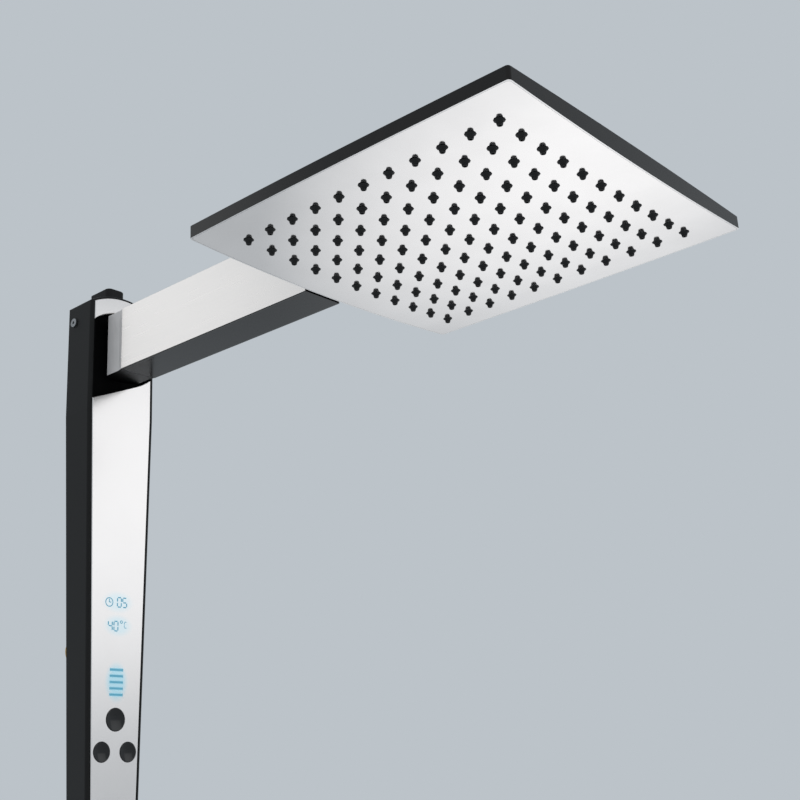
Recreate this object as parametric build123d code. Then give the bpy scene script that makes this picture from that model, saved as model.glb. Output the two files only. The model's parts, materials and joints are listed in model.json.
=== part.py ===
from build123d import *
import math
import os

# Electric wall shower: a slim column on the wall, a swinging arm and a square rain head.
# X is to the right for someone facing the wall, Y goes into the wall, Z is up.
# The origin is the centre of the water inlet on the wall plane. Sizes are in millimetres.

# Gaps between pieces
seat_gap = 0.1
slide_gap = 0.2
running_gap = 0.05
clear_gap = 0.3

# Narrow bevel on the outer edges of what shows, and the hexagon socket of the screws
edge_bevel = 0.4
socket_sides = 6
socket_radius = 1.2
socket_depth = 0.8

# Column outline
column_depth = 30.0
column_bottom = -104.0
column_shoulder = 162.0
column_crown = 251.3
shoulder_front_half = 28.0
shoulder_rear_half = 26.0
bottom_front_half = 21.0
bottom_rear_half = 15.0
arch_radius = 52.9
side_wall = 2.8
back_wall = 2.2
roof_wall = 2.4
roof_lip = 1.4
side_rounding = 2.2
roof_rounding = 1.0
cap_height = 3.0
cap_spigot = 4.0
cap_wall = 1.6

# Front plates of the column
fascia_thickness = 2.5
fascia_proud = 0.3
ledge_width = 1.6
ledge_depth = 2.0
lip_left_height = 169.75
lip_slope = 0.428
lip_bend_x = 13.0
lip_right_height = 193.0
band_crown = 238.4
band_radius = 37.8

# Pocket behind the arm root
pocket_bottom = 163.5
pocket_top = 240.5
pocket_wall = 1.6
pocket_back = -20.0

# Arm root and its upright swivel
arm_width = 30.0
arm_bottom = 188.0
arm_top = 234.0
pivot_y = -42.0
swing_limit = 30.0
heel_radius = 17.8
knuckle_half = 13.6
knuckle_flare = 4.3
knuckle_front = -48.3
knuckle_inset = 0.3
barrel_radius = 8.0
barrel_bore = 4.5
barrel_bottom = 193.0
barrel_floor = 3.0
water_level = 224.6
neck_radius = 4.5
neck_bore = 2.9
swivel_cap_radius = 10.5
seal_width = 1.5
seal_depth = 1.5
seal_land = 0.3

# Arm beam
beam_wall = 2.5
side_plate = 1.5
cover_height = 2.5
tongue_bottom = 218.5
tongue_overhang = 13.7
head_to_beam = 5.5
end_cap_depth = 2.5
spigot_length = 22.0
tube_radius = 3.5
tube_bore = 2.5

# Head
head_half = 110.0
head_centre_y = -348.3
head_bulge = 1.0
head_corner = 2.0
face_edge_level = 190.0
face_bow = 3.5
head_top_level = 197.7
plate_thickness = 1.2
plate_lip = 0.8
rim_wall = 2.0
ceiling_wall = 2.5
crown_rise = 2.3
crown_half = 84.0
crown_taper = 80.0
nozzle_rows = 11
nozzle_pitch = 17.37
nozzle_sides = 8
nozzle_hole_radius = 3.0
nozzle_root_radius = 2.85
nozzle_tip_radius = 1.4
nozzle_length = 2.9
mat_half = 95.0
mat_thickness = 1.7
gasket_width = 3.5
pillar_offset = 101.0
pillar_radius = 3.2

# Tilting hinge of the head
tilt_level = 207.0
tilt_barrel_radius = 5.0
tilt_barrel_bore = 3.0
tilt_barrel_end = 1.5
hub_radius = 6.5
hub_half = 9.2
hub_flange_height = 3.0
hub_flange_half = 13.5
hub_boss_half = 5.5
hub_boss_wall = 1.5
hub_socket = 4.5
hub_screw_y = 10.4
fork_gap = 0.3
fork_radius = 8.0
fork_base_half = 20.0
fork_base_height = 3.0
fork_relief = 0.7
fork_water_bore = 1.5

# Water inlet with its flow valve
inlet_radius = 10.48
inlet_collar_radius = 11.3
inlet_length = 14.0
inlet_bore = 6.5
flange_radius = 13.0
flange_height = 3.0
inlet_spigot_radius = 8.0
inlet_spigot_length = 3.4
filter_height = 1.2
filter_depth = 2.4
filter_ledge = 1.5
filter_hole_radius = 1.0
filter_hole_ring = 4.2
filter_hole_count = 8
valve_half = 15.0
valve_corner = 3.0
valve_depth = 8.4
valve_wall = 1.2
valve_chamber_radius = 11.5
diaphragm_thickness = 1.2
diaphragm_grip = 1.5
valve_cover_depth = 3.8
valve_cover_wall = 1.1
plunger_radius = 2.0
plunger_head_radius = 5.0
plunger_head_height = 1.0
plunger_travel = 1.2
valve_screw_offset = 12.2

# Heating chamber
chamber_half = 17.0
chamber_front = -20.0
chamber_back = -2.5
chamber_bottom = 25.0
chamber_top = 133.8
chamber_wall = 2.5
chamber_corner = 3.0
chamber_gasket_height = 1.2
lid_height = 5.0
lug_width = 5.0
lug_half = 4.0
lug_height = 10.0
element_radius = 3.0
element_half_gap = 10.0
element_bottom = 45.0
element_above_lid = 8.0
stud_radius = 1.5
stud_length = 5.0
feed_socket = 3.0
riser_radius = 5.0
riser_bore = 3.2
feed_radius = 3.4
feed_bore = 2.4
water_y = -11.25
riser_socket = 4.0
elbow_half = 9.0
elbow_front = -18.5
elbow_bottom = 212.0

# Electronics
board_front = -23.6
board_thickness = 1.6
board_half = 14.2
board_bottom = -86.0
board_top = 50.0
module_bottom = -3.0
module_top = 37.0
module_half = 11.0
bar_count = 5
bar_top_level = -16.7
bar_pitch = 4.06
bar_width = 10.6
bar_height = 2.0
power_board_bottom = 60.0
power_board_top = 128.0
triac_half = 5.2
triac_bottom = 96.0
triac_height = 15.0
terminal_left = 8.0
terminal_width = 14.0
terminal_bottom = 168.0
terminal_top = 196.0
terminal_count = 3
terminal_hole_radius = 2.3

# Buttons
power_button_radius = 7.5
power_button_level = -49.0
step_button_radius = 6.5
step_button_level = -69.6
step_button_x = 10.35
button_proud = 0.5
button_dish = 0.9
button_flange = 1.0
button_flange_height = 1.2
button_stem_radius = 2.5
button_travel = 0.8
switch_half = 3.0
switch_height = 0.8

# Wall bracket and wire entry
bracket_half = 22.9
bracket_bottom = 200.0
bracket_top = 238.0
bracket_thickness = 2.0
ear_depth = 12.0
bracket_hole_radius = 2.5
bracket_hole_x = 15.0
bracket_hole_low = 206.0
bracket_hole_high = 232.0
bracket_screw_x = 6.0
bracket_screw_level = 226.4
side_screw_level = 231.6
side_screw_y = -8.2
hood_half = 7.6
hood_depth = 21.0
hood_top = 261.5
hood_wall = 1.8
hood_corner = 4.0
hood_rounding = 1.2

# Screws, as head radius, head height, shank radius and length
side_screw = (3.2, 1.9, 1.5, 4.4)
bracket_screw = (3.4, 1.6, 2.0, 6.0)
cap_screw = (2.5, 1.2, 1.25, 11.0)
valve_screw = (2.2, 1.5, 1.2, 9.0)
lid_screw = (2.6, 2.0, 1.4, 9.0)
board_screw = (2.2, 1.2, 1.1, 5.0)
knuckle_screw = (3.0, 1.6, 1.5, 6.0)
head_screw = (2.4, 1.6, 1.2, 5.0)
fork_screw = (2.4, 1.8, 1.2, 4.6)
hub_screw = (2.6, 1.8, 1.4, 5.0)

# Sizes that follow from the ones above
arch_level = column_crown - arch_radius
cap_joint = column_bottom + cap_height
fascia_back = -column_depth + fascia_thickness - fascia_proud
arm_half = arm_width / 2
beam_half = arm_half - side_plate
channel_half = beam_half - beam_wall
cover_bottom = arm_top - cover_height
head_rear = head_centre_y + head_half
beam_end = head_rear + head_to_beam
tongue_end = head_centre_y - tongue_overhang
bow_radius = head_half**2 / (2 * face_bow)
face_crown_level = face_edge_level - face_bow
head_ceiling = head_top_level - ceiling_wall
head_plateau = head_top_level + crown_rise
board_back = board_front + board_thickness
lid_bottom = chamber_top + chamber_gasket_height
lid_top = lid_bottom + lid_height
valve_front = -back_wall - flange_height - slide_gap - valve_depth
feed_y = valve_front + valve_depth / 2
cover_face = valve_front - diaphragm_thickness - valve_cover_depth
head_place = Pos(0, head_centre_y, 0)
tilt_centre = (head_centre_y, tilt_level)


def block(x, y, z):
    """A box between three pairs of limits."""
    centre = ((x[0] + x[1]) / 2, (y[0] + y[1]) / 2, (z[0] + z[1]) / 2)
    return Pos(*centre) * Box(abs(x[1] - x[0]), abs(y[1] - y[0]), abs(z[1] - z[0]))


def rod(axis, radius, centre, start, end, sides=0):
    """A round bar along one axis, or one with flat sides, centred on the other two coordinates."""
    length = abs(end - start)
    middle = (start + end) / 2
    bar = Cylinder(radius, length)
    if sides:
        bar = extrude(RegularPolygon(radius, sides), length / 2, both=True)
    if axis == "x":
        return Pos(middle, centre[0], centre[1]) * Rot(0, 90, 0) * bar
    if axis == "y":
        return Pos(centre[0], middle, centre[1]) * Rot(90, 0, 0) * bar
    return Pos(centre[0], centre[1], middle) * bar


def screw(size, axis, centre, seat, toward):
    """A socket screw whose head sits on the seat and whose shank goes the way of toward."""
    head_radius, head_height, shank_radius, length = size
    top = seat - toward * head_height
    head = rod(axis, head_radius, centre, seat, top)
    head -= rod(axis, socket_radius, centre, top - toward, top + toward * socket_depth, socket_sides)
    return head + rod(axis, shank_radius, centre, seat, seat + toward * length)


def screw_hole(size, axis, centre, seat, toward, depth):
    """The counterbore and the shank hole that a screw of this size needs."""
    head_radius, head_height, shank_radius, _ = size
    sunk = rod(axis, head_radius + slide_gap, centre, seat, seat - toward * (head_height + 1))
    return sunk + rod(axis, shank_radius + seat_gap, centre, seat - toward, seat + toward * depth)


def bevelled(solid, axis, side, width=edge_bevel):
    """The solid with a bevel round its outermost face along one axis, on the side given as -1 or 1."""
    faces = solid.faces().sort_by(axis)
    return chamfer((faces[0] if side < 0 else faces[-1]).edges(), width)


def front_plate(outline, front, back):
    """An outline drawn in X and Z, given its thickness along Y."""
    return extrude(Plane.XZ.offset(-back) * outline, back - front)


def side_profile(points, half):
    """An outline of (Y, Z) points, given its width along X about the middle plane."""
    face = Plane.YZ * make_face(Polyline(*points, close=True))
    return extrude(face, half, both=True)


def column_half(z, shoulder_half, bottom_half):
    share = (column_shoulder - min(z, column_shoulder)) / (column_shoulder - column_bottom)
    return shoulder_half + (bottom_half - shoulder_half) * share


def side_half(y, z):
    """Half the width of the column at one depth and height."""
    front = column_half(z, shoulder_front_half, bottom_front_half)
    rear = column_half(z, shoulder_rear_half, bottom_rear_half)
    return front + (rear - front) * (y + column_depth) / column_depth


def fascia_half(z):
    return side_half(fascia_back, z) - side_wall - slide_gap


def column_slice(inset, front, back, z, rounding):
    near = side_half(front, z) - inset
    far = side_half(back, z) - inset
    face = make_face(Polyline((-near, front), (near, front), (far, back), (-far, back), close=True))
    if rounding:
        face = fillet(face.vertices().group_by(Axis.Y)[0], rounding)
    return Plane.XY.offset(z) * face


def column_solid(inset, front, back, low, high, rounding=0):
    """The tapering form of the column, with its sides moved in by inset."""
    levels = [low, high]
    if low < column_shoulder < high:
        levels = [low, column_shoulder, high]
    return loft([column_slice(inset, front, back, z, rounding) for z in levels], ruled=True)


def under_arch(radius):
    """All that lies under an arch with the column's centre of curvature."""
    far = 2 * column_depth
    dome = rod("y", radius, (0, arch_level), -far, far)
    return dome + block((-radius, radius), (-far, far), (column_bottom - far, arch_level))


def rounded_arch():
    """All that lies under the outside of the roof, which is rounded along its front."""
    dome = rod("y", arch_radius, (0, arch_level), -column_depth, 0)
    dome = fillet(dome.edges().group_by(Axis.Y)[0], roof_rounding)
    return dome + block((-arch_radius, arch_radius), (-column_depth, 0), (column_bottom, arch_level))


def ledge_strips():
    """Narrow ledges inside both walls on which the lower front plate lies."""
    back = fascia_back + ledge_depth
    inner = side_wall + ledge_width
    strips = column_solid(side_wall - 1, fascia_back, back, cap_joint, pocket_bottom)
    strips -= column_solid(inner, fascia_back - 1, back + 1, cap_joint - 1, pocket_bottom + 1)
    for x, z, radius in button_places().values():
        strips -= rod("y", radius + button_flange + clear_gap, (x, z), fascia_back - 1, back + 1)
    return strips


def make_casing():
    """Tapering rear shell with an arched roof, open at the front and the bottom."""
    low = cap_joint - 1
    shell = column_solid(0, -column_depth, 0, cap_joint, column_crown + 1, side_rounding)
    shell &= rounded_arch()
    hollow = column_solid(side_wall, fascia_back, -back_wall, low, column_crown)
    mouth = column_solid(side_wall, -column_depth - 1, fascia_back, low, column_crown)
    shell -= hollow & under_arch(arch_radius - roof_wall)
    shell -= mouth & under_arch(arch_radius - roof_lip)
    shell += ledge_strips()
    shell -= rod("y", inlet_collar_radius + clear_gap, (0, 0), -back_wall - 1, 1)
    half = bracket_half + clear_gap
    height = (bracket_bottom - clear_gap, bracket_top + clear_gap)
    shell -= block((-half, half), (-back_wall - 1, 1), height)
    half = hood_half - hood_wall
    shell -= block((-half, half), (-hood_depth + hood_wall, -back_wall), (bracket_top, column_crown + 1))
    for side in (-1, 1):
        seat = side * (shoulder_front_half - side_screw[1])
        shell -= screw_hole(side_screw, "x", (side_screw_y, side_screw_level), seat, -side, side_wall)
        shell += cap_boss(side * cap_screw_x())
    return shell


def cap_screw_x():
    return side_half(water_y, cap_joint) - side_wall - slide_gap - cap_screw[0]


def cap_boss(x):
    """Boss on the back wall that takes one screw of the bottom cap."""
    low = cap_joint + cap_spigot + seat_gap
    half = cap_screw[0]
    boss = block((x - half, x + half), (water_y - half, -back_wall + 1), (low, low + cap_screw[3]))
    return boss - rod("z", cap_screw[2] + seat_gap, (x, water_y), low - 1, low + cap_screw[3] + 1)


def cap_spigot_solid(inset, low, high):
    """What fits inside the column's bottom, behind the ledges and clear of every wall."""
    front = fascia_back + ledge_depth + slide_gap + inset
    return column_solid(side_wall + slide_gap + inset, front, -back_wall - slide_gap - inset, low, high)


def make_bottom_cap():
    cap = column_solid(0, -column_depth, 0, column_bottom, cap_joint - seat_gap, side_rounding)
    cap = bevelled(cap, Axis.Z, -1)
    top = cap_joint + cap_spigot
    cap += cap_spigot_solid(0, cap_joint - 1, top) - cap_spigot_solid(cap_wall, cap_joint, top + 1)
    for side in (-1, 1):
        place = (side * cap_screw_x(), water_y)
        cap += rod("z", cap_screw[0], place, cap_joint - 1, top)
        cap -= screw_hole(cap_screw, "z", place, column_bottom + cap_screw[1], 1, cap_height + cap_spigot)
    return cap


def make_cap_screws():
    seat = column_bottom + cap_screw[1]
    return [screw(cap_screw, "z", (side * cap_screw_x(), water_y), seat, 1) for side in (-1, 1)]


def lip_edge(half):
    """Slanting upper edge of the lower front plate, which turns up at its right end."""
    bend = (lip_bend_x, lip_left_height + lip_slope * (lip_bend_x + half))
    straight = Line((-half, lip_left_height), bend)
    return straight + TangentArc(bend, (half, lip_right_height), tangent=straight % 1)


def bar_levels():
    return [bar_top_level - bar_pitch * i for i in range(bar_count)]


def button_places():
    return {
        "power": (0, power_button_level, power_button_radius),
        "minus": (-step_button_x, step_button_level, step_button_radius),
        "plus": (step_button_x, step_button_level, step_button_radius),
    }


def level_bar(level, gap, front):
    """One bar of the power scale, or its slot when a gap is added."""
    half = bar_width / 2 + gap
    rise = bar_height / 2 + gap
    return block((-half, half), (front, board_front), (level - rise, level + rise))


def board_posts():
    reach = board_half - board_screw[0]
    high = board_top - board_screw[0]
    return [(-reach, high), (reach, high), (0, board_bottom + board_screw[0])]


def make_lower_fascia():
    top = fascia_half(column_shoulder)
    low = fascia_half(cap_joint)
    outline = lip_edge(top) + Polyline(
        (top, lip_right_height), (top, column_shoulder), (low, cap_joint),
        (-low, cap_joint), (-top, column_shoulder), (-top, lip_left_height),
    )
    plate = bevelled(front_plate(make_face(outline), -column_depth - fascia_proud, fascia_back), Axis.Y, -1)
    tip = board_back - board_screw[3]
    for place in board_posts():
        plate += rod("y", board_screw[0], place, fascia_back - 1, board_front)
        plate -= rod("y", board_screw[2] + seat_gap, place, tip - seat_gap, board_front + 1)
    for level in bar_levels():
        plate -= level_bar(level, seat_gap, -column_depth - 1)
    for x, z, radius in button_places().values():
        plate -= rod("y", radius + slide_gap, (x, z), -column_depth - 1, fascia_back + 1)
    return plate


def make_upper_fascia():
    half = fascia_half(column_shoulder)
    far = 2 * column_depth
    outline = Pos(0, column_crown) * Rectangle(2 * half, far)
    band = front_plate(outline, -column_depth - fascia_proud, fascia_back)
    band &= under_arch(arch_radius - roof_lip - slide_gap)
    return bevelled(band - rod("y", band_radius, (0, band_crown - band_radius), -far, far), Axis.Y, -1)


def make_pocket():
    """Black tray that closes the column behind the arm root."""
    half = side_half(pocket_back, column_shoulder) - side_wall - clear_gap
    tray = block((-half, half), (fascia_back + slide_gap, pocket_back), (pocket_bottom, pocket_top))
    inner = half - pocket_wall
    tray -= block((-inner, inner), (fascia_back - 1, pocket_back - pocket_wall),
                  (pocket_bottom + pocket_wall, pocket_top - pocket_wall))
    return tray - rod("y", neck_radius + clear_gap, (0, water_level), fascia_back, 0)


def make_wire_hood():
    """Hood on the roof, open at the wall, through which the supply cable comes in."""
    hood = block((-hood_half, hood_half), (-hood_depth, 0), (bracket_top, hood_top))
    hood = fillet(hood.edges().filter_by(Axis.Z).sort_by(Axis.Y)[:2], hood_corner)
    rim = hood.edges().group_by(Axis.Z)[-1].sort_by(Axis.Y)[:-1]
    hood = fillet(rim, hood_rounding) - under_arch(arch_radius + seat_gap)
    wire_way = block((-hood_half + hood_wall, hood_half - hood_wall), (-hood_depth + hood_wall, 1),
                     (bracket_top - 1, hood_top - hood_wall))
    return hood - wire_way


def make_wall_bracket():
    """Flat U of sheet steel that is screwed to the wall and holds the column by its ears."""
    plate = block((-bracket_half, bracket_half), (-bracket_thickness, 0), (bracket_bottom, bracket_top))
    for side in (-1, 1):
        inner = side * (bracket_half - bracket_thickness)
        outer = side * bracket_half
        plate += block((inner, outer), (-ear_depth, 0), (bracket_bottom, bracket_top))
        place = (side_screw_y, side_screw_level)
        plate -= rod("x", side_screw[2] + seat_gap, place, inner - side, outer + side)
        for level in (bracket_hole_low, bracket_hole_high):
            place = (side * bracket_hole_x, level)
            plate -= rod("y", bracket_hole_radius, place, -bracket_thickness - 1, 1)
    for place in bracket_screw_places():
        plate -= screw_hole(bracket_screw, "y", place, bracket_screw_seat(), -1, bracket_thickness)
    return plate


def bracket_screw_places():
    return [(side * bracket_screw_x, bracket_screw_level) for side in (-1, 1)]


def bracket_screw_seat():
    return -bracket_screw[1]


def make_bracket_screws():
    return [screw(bracket_screw, "y", place, bracket_screw_seat(), -1) for place in bracket_screw_places()]


def make_side_screws():
    seat = shoulder_front_half - side_screw[1]
    place = (side_screw_y, side_screw_level)
    return [screw(side_screw, "x", place, side * seat, -side) for side in (-1, 1)]


def make_inlet_nipple():
    """Stub for the wall pipe, with a collar in the back wall and a flange and spigot behind it."""
    flange_front = -back_wall - flange_height
    stub = rod("y", inlet_radius, (0, 0), -back_wall, inlet_length)
    stub += rod("y", inlet_collar_radius, (0, 0), -back_wall, 0)
    stub += rod("y", flange_radius, (0, 0), flange_front, -back_wall)
    stub += rod("y", inlet_spigot_radius, (0, 0), spigot_end(), flange_front)
    stub -= rod("y", inlet_bore, (0, 0), spigot_end() - 1, inlet_length + 1)
    return stub - rod("y", inlet_bore + filter_ledge, (0, 0), inlet_length - filter_depth, inlet_length + 1)


def spigot_end():
    return -back_wall - flange_height - inlet_spigot_length


def make_inlet_filter():
    """Strainer disc in the mouth of the stub."""
    back = inlet_length - filter_depth
    strainer = rod("y", inlet_bore + filter_ledge - seat_gap, (0, 0), back, back + filter_height)
    for i in range(filter_hole_count):
        turn = math.tau * i / filter_hole_count
        place = (filter_hole_ring * math.cos(turn), filter_hole_ring * math.sin(turn))
        strainer -= rod("y", filter_hole_radius, place, back - 1, inlet_length)
    return strainer


def valve_plate(front, back):
    plate = front_plate(Rectangle(2 * valve_half, 2 * valve_half), front, back)
    return fillet(plate.edges().filter_by(Axis.Y), valve_corner)


def valve_screw_places():
    return [(side * valve_screw_offset, side * valve_screw_offset) for side in (-1, 1)]


def valve_screw_seat():
    return cover_face + valve_screw[1]


def make_valve_body():
    back = valve_front + valve_depth
    body = valve_plate(valve_front, back)
    body -= rod("y", inlet_spigot_radius + running_gap, (0, 0), spigot_end() - seat_gap, back + 1)
    body -= rod("y", valve_chamber_radius, (0, 0), valve_front - 1, spigot_end() - valve_wall)
    body -= rod("y", inlet_bore, (0, 0), valve_front, back)
    body -= rod("z", feed_radius + running_gap, (0, feed_y), valve_half - feed_socket, valve_half + 1)
    body -= rod("z", feed_bore, (0, feed_y), 0, valve_half)
    tip = valve_screw_seat() + valve_screw[3]
    for place in valve_screw_places():
        body -= rod("y", valve_screw[2] + seat_gap, place, valve_front - 1, tip + seat_gap)
    return body


def make_diaphragm():
    front = valve_front - diaphragm_thickness
    return rod("y", valve_chamber_radius + diaphragm_grip, (0, 0), front, valve_front)


def make_valve_cover():
    back = valve_front - diaphragm_thickness
    cover = valve_plate(cover_face, back)
    cover -= rod("y", valve_chamber_radius, (0, 0), cover_face + valve_cover_wall, back + 1)
    cover -= rod("y", plunger_radius + running_gap, (0, 0), cover_face - 1, back)
    for place in valve_screw_places():
        cover -= screw_hole(valve_screw, "y", place, valve_screw_seat(), 1, valve_cover_depth)
    return cover


def make_valve_screws():
    return [screw(valve_screw, "y", place, valve_screw_seat(), 1) for place in valve_screw_places()]


def make_flow_plunger():
    """Pin that the diaphragm pushes forward when water runs."""
    head_back = valve_front - diaphragm_thickness - seat_gap
    tip = board_back + switch_height + slide_gap + plunger_travel
    head = rod("y", plunger_head_radius, (0, 0), head_back - plunger_head_height, head_back)
    return head + rod("y", plunger_radius, (0, 0), tip, head_back)


def make_feed_tube():
    low = valve_half - feed_socket + seat_gap
    tube = rod("z", feed_radius, (0, feed_y), low, chamber_bottom + chamber_wall)
    return tube - rod("z", feed_bore, (0, feed_y), 0, chamber_top)


def chamber_lugs(low, high):
    reach = chamber_half + lug_width
    middle = (chamber_front + chamber_back) / 2
    return block((-reach, reach), (middle - lug_half, middle + lug_half), (low, high))


def lid_screw_places():
    middle = (chamber_front + chamber_back) / 2
    return [(side * (chamber_half + lug_width / 2), middle) for side in (-1, 1)]


def rounded_tank(inset, low, high):
    half = chamber_half - inset
    tank = block((-half, half), (chamber_front + inset, chamber_back - inset), (low, high))
    return fillet(tank.edges().filter_by(Axis.Z), chamber_corner)


def make_heating_chamber():
    tank = rounded_tank(0, chamber_bottom, chamber_top)
    tank += chamber_lugs(chamber_top - lug_height, chamber_top)
    tank -= rounded_tank(chamber_wall, chamber_bottom + chamber_wall, chamber_top + 1)
    floor_top = chamber_bottom + chamber_wall
    tank -= rod("z", feed_radius + running_gap, (0, feed_y), chamber_bottom - 1, floor_top + 1)
    tip = lid_top - lid_screw[1] - lid_screw[3]
    for place in lid_screw_places():
        tank -= rod("z", lid_screw[2] + seat_gap, place, tip - seat_gap, chamber_top + 1)
    return tank


def make_chamber_gasket():
    ring = rounded_tank(0, chamber_top, lid_bottom)
    return ring - rounded_tank(chamber_wall, chamber_top - 1, lid_bottom + 1)


def make_chamber_lid():
    lid = rounded_tank(0, lid_bottom, lid_top) + chamber_lugs(lid_bottom, lid_top)
    lid -= rod("z", riser_radius + running_gap, (0, water_y), lid_bottom - 1, lid_top + 1)
    for side in (-1, 1):
        place = (side * element_half_gap, water_y)
        lid -= rod("z", element_radius + running_gap, place, lid_bottom - 1, lid_top + 1)
    for place in lid_screw_places():
        lid -= screw_hole(lid_screw, "z", place, lid_top - lid_screw[1], -1, lid_height)
    return lid


def make_lid_screws():
    return [screw(lid_screw, "z", place, lid_top - lid_screw[1], -1) for place in lid_screw_places()]


def make_heating_element():
    """Sheathed hairpin element with a stud at each end for its wires."""
    top = lid_top + element_above_lid
    bend = element_bottom + element_half_gap
    left, right = (Vector(side * element_half_gap, water_y, bend) for side in (-1, 1))
    rise = Vector(0, 0, top - bend)
    path = Line(left + rise, left)
    path += ThreePointArc(left, Vector(0, water_y, element_bottom), right)
    path += Line(right, right + rise)
    element = sweep(Plane(left + rise, z_dir=(0, 0, -1)) * Circle(element_radius), path)
    for side in (-1, 1):
        element += rod("z", stud_radius, (side * element_half_gap, water_y), top - 1, top + stud_length)
    return element


def make_riser_tube():
    top = elbow_bottom + riser_socket
    tube = rod("z", riser_radius, (0, water_y), lid_bottom + seat_gap, top)
    return tube - rod("z", riser_bore, (0, water_y), lid_bottom - 1, top + 1)


def make_outlet_elbow():
    """Block on the wall bracket that turns the water from the riser into the neck."""
    socket_top = elbow_bottom + riser_socket + seat_gap
    back = -bracket_thickness - seat_gap
    elbow = block((-elbow_half, elbow_half), (elbow_front, back), (elbow_bottom, arm_top))
    elbow -= rod("z", riser_radius + running_gap, (0, water_y), elbow_bottom - 1, socket_top)
    elbow -= rod("z", riser_bore, (0, water_y), elbow_bottom, water_level)
    elbow -= rod("y", neck_radius + running_gap, (0, water_level), elbow_front - 1, water_y)
    tip = bracket_screw_seat() - bracket_screw[3]
    for place in bracket_screw_places():
        elbow -= rod("y", bracket_screw[2] + seat_gap, place, tip - seat_gap, 0)
    return elbow


def make_neck_tube():
    tube = rod("y", neck_radius, (0, water_level), neck_end(), water_y - seat_gap)
    return tube - rod("y", neck_bore, (0, water_level), neck_end() - 1, water_y + 1)


def neck_end():
    return pivot_y + barrel_bore + 1


def seal_levels():
    """Lower edges of the two seals, one under and one over the slot for the neck."""
    reach = neck_radius + clear_gap + seal_land
    return [water_level - reach - seal_width, water_level + reach]


def seal_ring(level, outer):
    ring = rod("z", outer, (0, pivot_y), level, level + seal_width)
    return ring - rod("z", barrel_radius - seal_depth, (0, pivot_y), level - 1, level + seal_width + 1)


def make_swivel_barrel():
    """Hollow post on which the whole arm swings."""
    barrel = rod("z", barrel_radius, (0, pivot_y), barrel_bottom, cover_bottom - seat_gap)
    barrel -= rod("z", barrel_bore, (0, pivot_y), barrel_bottom + barrel_floor, water_level + neck_bore)
    barrel -= rod("y", neck_radius + running_gap, (0, water_level), neck_end(), pivot_y + barrel_radius + 1)
    barrel -= rod("y", neck_bore, (0, water_level), pivot_y - barrel_radius - 1, pivot_y + barrel_radius)
    for level in seal_levels():
        barrel -= seal_ring(level, barrel_radius + 1)
    return barrel


def make_swivel_seals():
    return [seal_ring(level, barrel_radius) for level in seal_levels()]


def swing_slot():
    """The wedge that the neck sweeps inside the knuckle as the arm swings both ways."""
    half = neck_radius + clear_gap
    turn = math.radians(swing_limit + 1)
    reach = heel_radius + column_depth
    near = (half * math.cos(turn), -half * math.sin(turn))
    far = (near[0] + reach * math.sin(turn), near[1] + reach * math.cos(turn))
    outline = Polyline(near, far, (-far[0], far[1]), (-near[0], near[1]), close=True)
    wedge = extrude(Plane.XY.offset(water_level - half) * make_face(outline), 2 * half)
    return Pos(0, pivot_y, 0) * wedge


def make_arm_knuckle():
    """Root of the arm, round about its axis and bored for the swivel post."""
    half = knuckle_half
    wide = arm_half - knuckle_inset
    corner = pivot_y + math.sqrt(heel_radius**2 - half**2)
    front = knuckle_front
    neck = front + knuckle_flare
    outline = Polyline(
        (-half, corner), (-half, neck), (-wide, front), (wide, front), (half, neck), (half, corner),
    )
    outline += ThreePointArc((half, corner), (0, pivot_y + heel_radius), (-half, corner))
    knuckle = extrude(Plane.XY.offset(arm_bottom) * make_face(outline), arm_top - arm_bottom)
    knuckle = bevelled(bevelled(knuckle, Axis.Z, 1), Axis.Z, -1)
    spigot_half = channel_half - slide_gap
    spigot_front = knuckle_front - spigot_length
    spigot_height = (arm_bottom + beam_wall + slide_gap, cover_bottom - slide_gap)
    knuckle += block((-spigot_half, spigot_half), (spigot_front, knuckle_front + 1), spigot_height)
    knuckle -= rod("z", barrel_radius + running_gap, (0, pivot_y), barrel_bottom - seat_gap, arm_top)
    knuckle -= rod("z", swivel_cap_radius + seat_gap, (0, pivot_y), cover_bottom, arm_top + 1)
    knuckle -= swing_slot()
    knuckle -= rod("y", neck_bore, (0, water_level), spigot_front - 1, pivot_y)
    knuckle -= rod("y", tube_radius + running_gap, (0, water_level), spigot_front - 1, tube_start())
    for side in (-1, 1):
        tip = side * (knuckle_seat() - knuckle_screw[3] - seat_gap)
        place = (knuckle_screw_y(), knuckle_screw_level())
        knuckle -= rod("x", knuckle_screw[2] + seat_gap, place, tip, side * arm_half)
    return knuckle


def knuckle_seat():
    """How far from the middle the heads of the knuckle screws bear."""
    return beam_half - knuckle_screw[1] - slide_gap


def tube_start():
    return knuckle_front - spigot_length / 2


def knuckle_screw_y():
    return knuckle_front - spigot_length + 2 * knuckle_screw[0]


def knuckle_screw_level():
    return (arm_bottom + arm_top) / 2 - knuckle_screw[0]


def make_knuckle_screws():
    place = (knuckle_screw_y(), knuckle_screw_level())
    return [screw(knuckle_screw, "x", place, side * knuckle_seat(), -side) for side in (-1, 1)]


def make_swivel_cap():
    return bevelled(rod("z", swivel_cap_radius, (0, pivot_y), cover_bottom, arm_top), Axis.Z, 1)


def beam_profile(rear, inset, roof):
    """Side outline of the arm: a deep beam, then a shallow tongue over the head."""
    front = tongue_end + inset
    step = beam_end + inset
    floor = arm_bottom + inset
    shelf = tongue_bottom + inset
    return [(rear, floor), (step, floor), (step, shelf), (front, shelf), (front, roof), (rear, roof)]


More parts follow.
